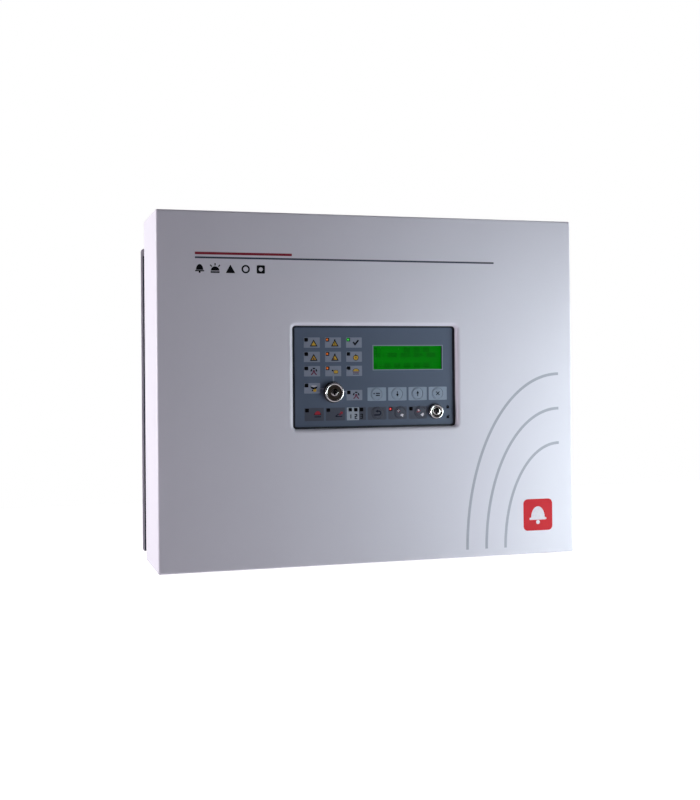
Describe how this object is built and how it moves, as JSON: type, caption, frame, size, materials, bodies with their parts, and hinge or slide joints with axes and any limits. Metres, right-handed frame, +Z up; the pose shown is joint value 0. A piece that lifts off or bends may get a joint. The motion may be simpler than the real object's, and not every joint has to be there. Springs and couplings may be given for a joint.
{
  "type": "fire alarm control panel",
  "caption": "Wall-hung fire alarm control panel: shallow steel back box under a deep hinged door with a recessed operating fascia, display, keys, key switch and cam lock.",
  "frame": {"origin": "middle of the back plate's wall side", "axes": "+Z up, +X to the right seen from the front, +Y into the wall; the door faces -Y"},
  "size_m": [0.455, 0.108, 0.36],
  "materials": {
    "grey_white_paint": "fine textured powder coat, light grey-white, semi-gloss",
    "zinc_plated_steel": "bright zinc plating",
    "nickel_plate": "polished nickel plating",
    "black_plastic": "black moulded plastic",
    "black_rubber": "black rubber or foam",
    "dark_carrier_paint": "near-black blue painted sheet",
    "slate_overlay_film": "slate blue-grey polycarbonate overlay",
    "light_key_film": "light blue-grey printed key area",
    "green_circuit_board": "green solder mask",
    "green_terminal_plastic": "green terminal housing",
    "clear_plastic": "clear plastic",
    "display_green": "lit green display",
    "battery_case_grey": "dark grey battery case",
    "loom_jacket": "black cable jacket",
    "white_plastic": "white connector housing",
    "relay_case_blue": "blue relay case",
    "transformer_tape": "yellow insulating tape",
    "terminal_beige": "beige terminal housing",
    "brass_stud": "brass"
  },
  "bodies": {
    "enclosure": {"back_box": "grey_white_paint", "edge_seal_left": "black_rubber", "edge_seal_right": "black_rubber", "hinge_bracket_upper": "zinc_plated_steel", "hinge_bracket_lower": "zinc_plated_steel", "hinge_pin_upper": "zinc_plated_steel", "hinge_pin_lower": "zinc_plated_steel", "striker_bracket": "zinc_plated_steel", "main_board": "green_circuit_board", "terminal_block_inputs": "green_terminal_plastic", "terminal_block_outputs": "green_terminal_plastic", "relay_1": "relay_case_blue", "relay_2": "relay_case_blue", "supply_chassis": "zinc_plated_steel", "supply_lid": "zinc_plated_steel", "supply_board": "green_circuit_board", "supply_transformer": "transformer_tape", "mains_terminal": "terminal_beige", "battery_left": "battery_case_grey", "battery_right": "battery_case_grey", "battery_bracket": "zinc_plated_steel", "earth_stud": "brass_stud", "cable_grommet_1": "black_rubber", "cable_grommet_2": "black_rubber", "cable_grommet_3": "black_rubber", "loom_grommet": "black_rubber", "loom_plug": "white_plastic", "loom_tray_side": "loom_jacket"},
    "door": {"front_door": "grey_white_paint", "hinge_barrel_upper": "zinc_plated_steel", "hinge_barrel_lower": "zinc_plated_steel", "fascia_carrier": "dark_carrier_paint", "fascia_overlay": "slate_overlay_film", "lcd_window": "clear_plastic", "lcd_bezel": "black_plastic", "lcd_glass": "display_green", "lcd_board": "green_circuit_board", "light_guide_zones": "clear_plastic", "light_guide_outputs": "clear_plastic", "light_guide_silence": "clear_plastic", "light_guide_evacuate": "clear_plastic", "keypad_board": "green_circuit_board", "buzzer": "black_plastic", "key_switch_body": "nickel_plate", "key_switch_nut": "zinc_plated_steel", "key_switch_contacts": "black_plastic", "lock_body": "nickel_plate", "lock_nut": "zinc_plated_steel", "loom_door_side": "loom_jacket"},
    "switch_rotor": {"key_switch_rotor": "nickel_plate"},
    "lock": {"lock_plug": "nickel_plate", "lock_cam": "zinc_plated_steel", "lock_cam_screw": "zinc_plated_steel"},
    "menu_key": {"key_menu": "light_key_film"},
    "down_key": {"key_down": "light_key_film"},
    "up_key": {"key_up": "light_key_film"},
    "cancel_key": {"key_cancel": "light_key_film"},
    "reset_key": {"key_reset": "slate_overlay_film"},
    "silence_key": {"key_silence": "slate_overlay_film"},
    "evacuate_key": {"key_evacuate": "slate_overlay_film"}
  },
  "joints": [
    {"name": "door_hinge", "type": "hinge", "parent": "enclosure", "child": "door", "pos_m": [-0.2193, -0.0153, 0], "axis": [0, 0, -1], "range_deg": [0, 90]},
    {"name": "key_switch_turn", "type": "hinge", "parent": "door", "child": "switch_rotor", "pos_m": [-0.0431, -0.1, -0.0032], "axis": [0, -1, 0], "range_deg": [-90, 90]},
    {"name": "lock_turn", "type": "hinge", "parent": "door", "child": "lock", "pos_m": [0.0689, -0.079, -0.0246], "axis": [0, -1, 0], "range_deg": [0, 90]},
    {"name": "menu_press", "type": "slide", "parent": "door", "child": "menu_key", "axis": [0, 1, 0], "range_m": [0, 0.0005], "stiffness_N_per_m": 1500},
    {"name": "down_press", "type": "slide", "parent": "door", "child": "down_key", "axis": [0, 1, 0], "range_m": [0, 0.0005], "stiffness_N_per_m": 1500},
    {"name": "up_press", "type": "slide", "parent": "door", "child": "up_key", "axis": [0, 1, 0], "range_m": [0, 0.0005], "stiffness_N_per_m": 1500},
    {"name": "cancel_press", "type": "slide", "parent": "door", "child": "cancel_key", "axis": [0, 1, 0], "range_m": [0, 0.0005], "stiffness_N_per_m": 1500},
    {"name": "reset_press", "type": "slide", "parent": "door", "child": "reset_key", "axis": [0, 1, 0], "range_m": [0, 0.0005], "stiffness_N_per_m": 1500},
    {"name": "silence_press", "type": "slide", "parent": "door", "child": "silence_key", "axis": [0, 1, 0], "range_m": [0, 0.0005], "stiffness_N_per_m": 1500},
    {"name": "evacuate_press", "type": "slide", "parent": "door", "child": "evacuate_key", "axis": [0, 1, 0], "range_m": [0, 0.0005], "stiffness_N_per_m": 1500}
  ]
}
